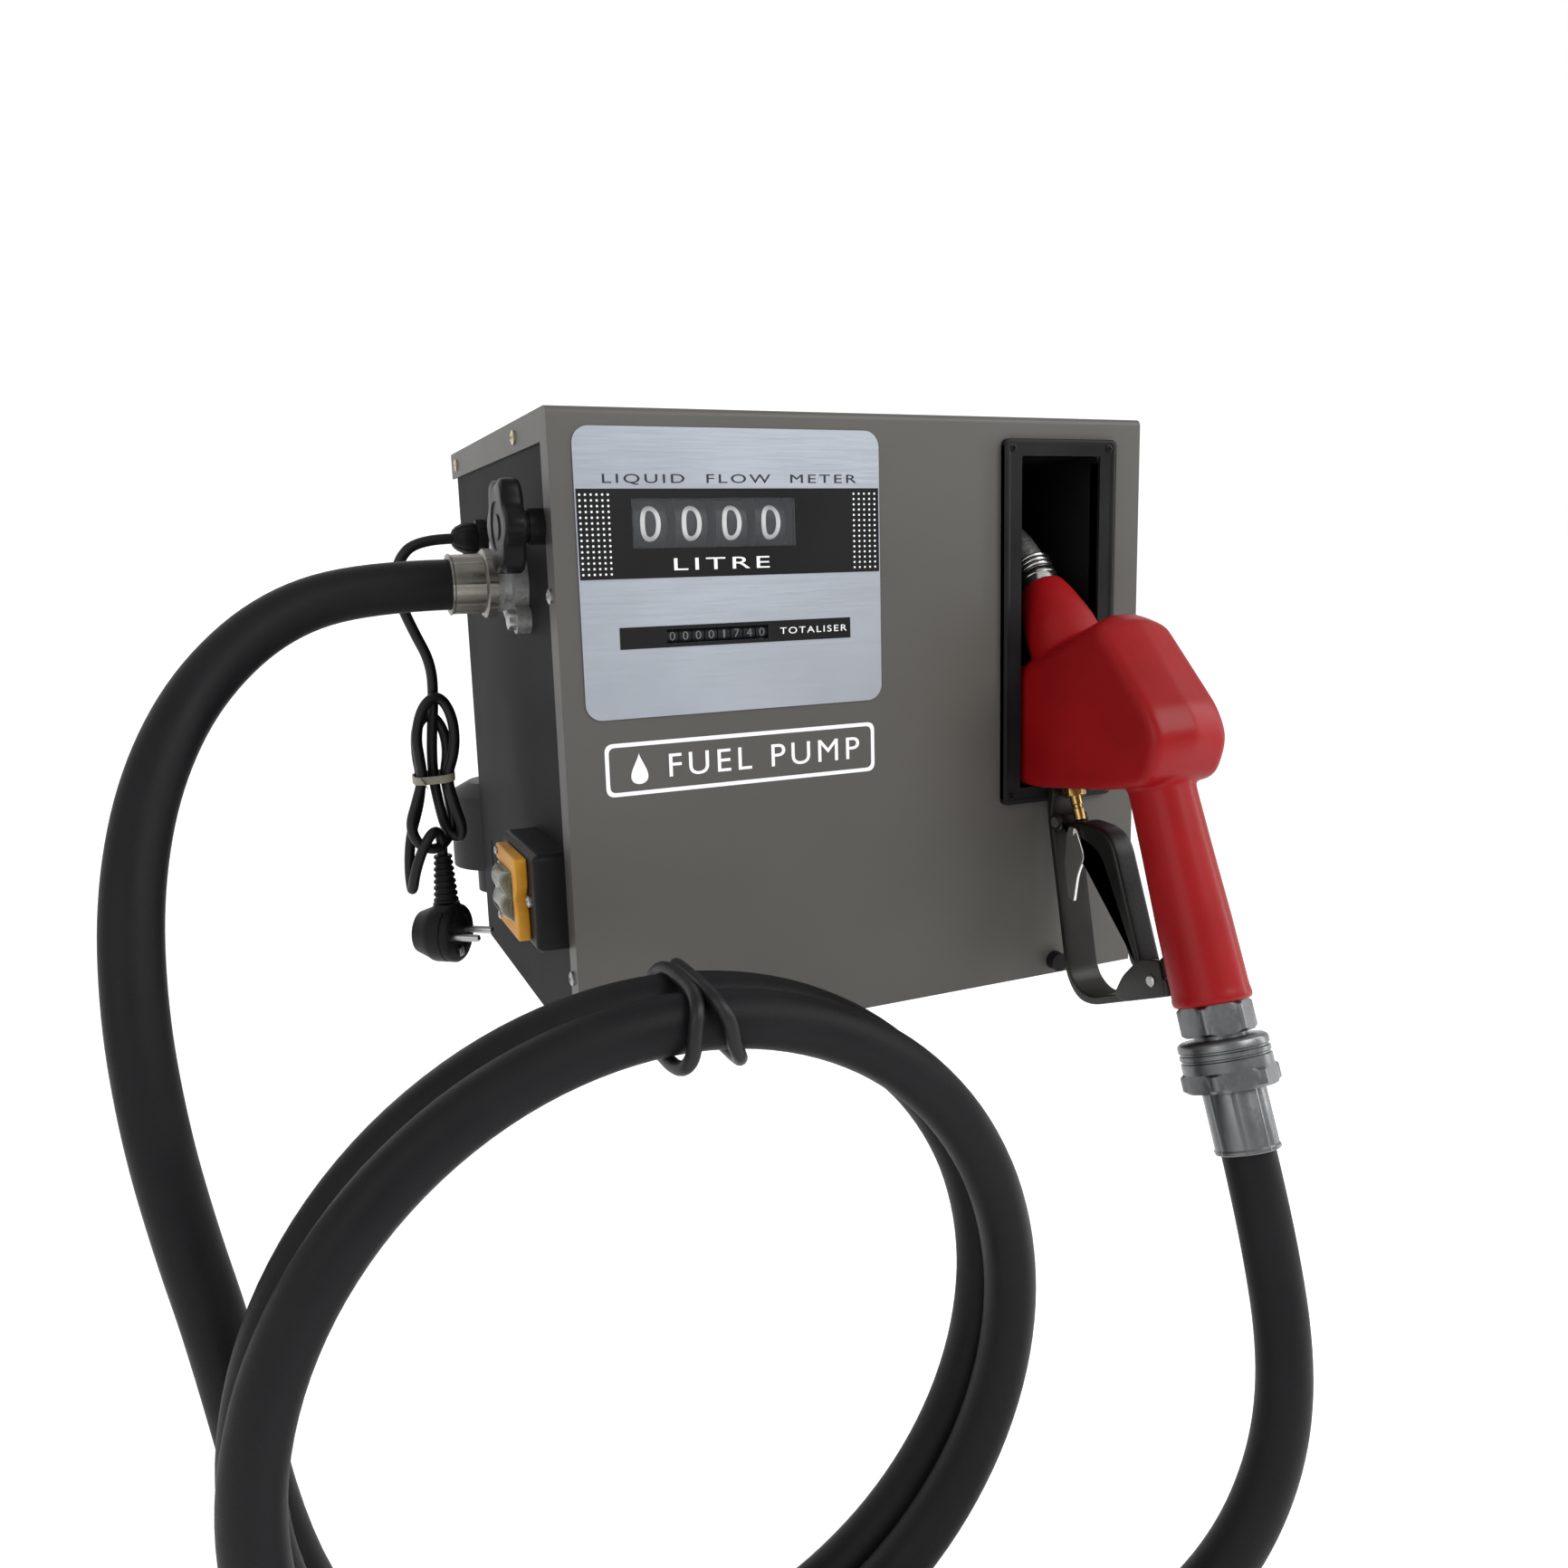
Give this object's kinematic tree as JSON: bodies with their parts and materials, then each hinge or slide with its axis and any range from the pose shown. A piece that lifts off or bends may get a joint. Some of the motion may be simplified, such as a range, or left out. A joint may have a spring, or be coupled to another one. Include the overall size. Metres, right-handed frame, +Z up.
{
  "type": "fuel dispenser",
  "caption": "Cabinet fuel dispenser with a mechanical counter, pump, motor, coiled hose and a lever nozzle in a side holster.",
  "frame": {"origin": "centre of the base's bolt pattern, in the cabinet's bottom face", "axes": "+Z up, -Y to the front with the counter, +X to the side the nozzle hangs on"},
  "size_m": [0.6032, 0.5819, 0.6956],
  "materials": {
    "cabinet_paint": "satin powder coat",
    "meter_plate_metal": "brushed",
    "printed_film": "matt print",
    "wheel_black": "satin",
    "window_clear": "clear",
    "knob_black": "satin moulded",
    "steel_plain": "plated",
    "steel_yellow": "yellowish zinc",
    "cast_aluminium": "as cast",
    "casting_black": "painted",
    "motor_paint": "satin",
    "disc_plastic": "moulded",
    "vinyl_red": "glossy dip coat",
    "lever_black": "satin",
    "guard_black": "matt",
    "brass": "machined",
    "chrome": "bright",
    "hose_rubber": "satin",
    "cord_black": "satin",
    "tie_beige": "matt",
    "plastic_black": "matt",
    "bezel_yellow": "matt",
    "membrane": "smoky, clear"
  },
  "bodies": {
    "cabinet": {"front_cover": "cabinet_paint", "chassis": "cabinet_paint", "back_panel": "cabinet_paint", "small_screws": "steel_plain", "meter_plate": "meter_plate_metal", "printed_bands": "printed_film", "counter_window": "window_clear", "total_wheels": "wheel_black", "counter_axles": "steel_plain", "counter_frames": "steel_plain", "knob_boss": "plastic_black", "meter_body": "cast_aluminium", "meter_cover": "cast_aluminium", "outlet_flange": "steel_plain", "flange_bolts": "steel_plain", "outlet_ferrule": "steel_yellow", "pump_body": "casting_black", "pump_cover": "casting_black", "motor_housing": "motor_paint", "motor_covers": "motor_paint", "fuel_pipes": "steel_plain", "strainer_housing": "casting_black", "strainer_lid": "casting_black", "cable_gland": "plastic_black", "switch_box": "plastic_black", "switch_bezel": "bezel_yellow", "switch_cover": "membrane", "holster": "plastic_black", "bumper": "hose_rubber", "hose_lead": "hose_rubber", "hose_coil": "hose_rubber", "hose_tie": "cord_black", "mains_lead": "cord_black", "mains_hank": "cord_black", "hank_tie": "tie_beige", "plug": "plastic_black"},
    "knob": {"reset_knob": "knob_black"},
    "wheel_1": {"number_wheel_1": "wheel_black"},
    "wheel_2": {"number_wheel_2": "wheel_black"},
    "wheel_3": {"number_wheel_3": "wheel_black"},
    "wheel_4": {"number_wheel_4": "wheel_black"},
    "total_units": {"total_units_wheel": "wheel_black"},
    "meter_disc": {"measuring_disc": "disc_plastic"},
    "pump_shaft": {"pump_rotor": "steel_plain", "motor_core": "steel_plain", "motor_fan": "plastic_black"},
    "rocker": {"switch_rocker": "plastic_black"},
    "nozzle": {"nozzle_cover": "vinyl_red", "nozzle_casting": "cast_aluminium", "spout": "cast_aluminium", "spout_collar": "chrome", "lever_guard": "guard_black", "lever_pin": "steel_plain", "hex_nipple": "steel_yellow", "hose_riser": "hose_rubber"},
    "hand_lever": {"lever": "lever_black"},
    "stem": {"valve_stem": "brass"},
    "clip": {"hold_open_clip": "steel_plain"},
    "swivel": {"swivel_body": "steel_yellow", "hose_ferrule": "steel_yellow"}
  },
  "joints": [
    {"name": "knob_turn", "type": "hinge", "parent": "cabinet", "child": "knob", "pos_m": [-0.19, -0.1155, 0.2905], "axis": [1, 0, 0], "continuous": true},
    {"name": "units_wheel_turn", "type": "hinge", "parent": "cabinet", "child": "wheel_4", "pos_m": [-0.063, -0.1155, 0.2905], "axis": [1, 0, 0], "continuous": true},
    {"name": "tens_wheel_turn", "type": "hinge", "parent": "cabinet", "child": "wheel_3", "pos_m": [-0.086, -0.1155, 0.2905], "axis": [1, 0, 0], "continuous": true},
    {"name": "hundreds_wheel_turn", "type": "hinge", "parent": "cabinet", "child": "wheel_2", "pos_m": [-0.1095, -0.1155, 0.2905], "axis": [1, 0, 0], "continuous": true},
    {"name": "thousands_wheel_turn", "type": "hinge", "parent": "cabinet", "child": "wheel_1", "pos_m": [-0.1325, -0.1155, 0.2905], "axis": [1, 0, 0], "continuous": true},
    {"name": "total_units_turn", "type": "hinge", "parent": "cabinet", "child": "total_units", "pos_m": [-0.072, -0.1305, 0.23075], "axis": [1, 0, 0], "continuous": true},
    {"name": "meter_disc_turn", "type": "hinge", "parent": "cabinet", "child": "meter_disc", "pos_m": [-0.1, -0.055, 0.261], "axis": [0, 1, 0], "continuous": true},
    {"name": "pump_shaft_turn", "type": "hinge", "parent": "cabinet", "child": "pump_shaft", "pos_m": [0, 0.0425, 0.085], "axis": [1, 0, 0], "continuous": true},
    {"name": "switch_rock", "type": "hinge", "parent": "cabinet", "child": "rocker", "pos_m": [-0.203, -0.0815, 0.0875], "axis": [0, 1, 0], "range_deg": [-8, 8]},
    {"name": "nozzle_draw", "type": "slide", "parent": "cabinet", "child": "nozzle", "axis": [0, -0.9962, 0.0872], "range_m": [0, 0.13]},
    {"name": "lever_squeeze", "type": "hinge", "parent": "nozzle", "child": "hand_lever", "pos_m": [0.127, -0.15193, 0.10419], "axis": [-1, 0, 0], "range_deg": [0, 12], "stiffness_Nm_per_rad": 1, "springref_deg": -11.46},
    {"name": "stem_lift", "type": "slide", "parent": "nozzle", "child": "stem", "axis": [0, 0.3746, 0.9272], "range_m": [0, 0.0035]},
    {"name": "clip_swing", "type": "hinge", "parent": "hand_lever", "child": "clip", "pos_m": [0.127, -0.1681, 0.10156], "axis": [1, 0, 0], "range_deg": [-30, 6]},
    {"name": "swivel_turn", "type": "hinge", "parent": "nozzle", "child": "swivel", "pos_m": [0.127, -0.241, 0.124], "axis": [0, 0.3746, 0.9272], "continuous": true}
  ],
  "couplings": [
    {"joint": "units_wheel_turn", "follows": "meter_disc_turn", "ratio": 0.25},
    {"joint": "tens_wheel_turn", "follows": "meter_disc_turn", "ratio": 0.025},
    {"joint": "hundreds_wheel_turn", "follows": "meter_disc_turn", "ratio": 0.0025},
    {"joint": "thousands_wheel_turn", "follows": "meter_disc_turn", "ratio": 0.00025},
    {"joint": "total_units_turn", "follows": "meter_disc_turn", "ratio": 0.025},
    {"joint": "stem_lift", "follows": "lever_squeeze", "m_per_rad": 0.0145}
  ]
}
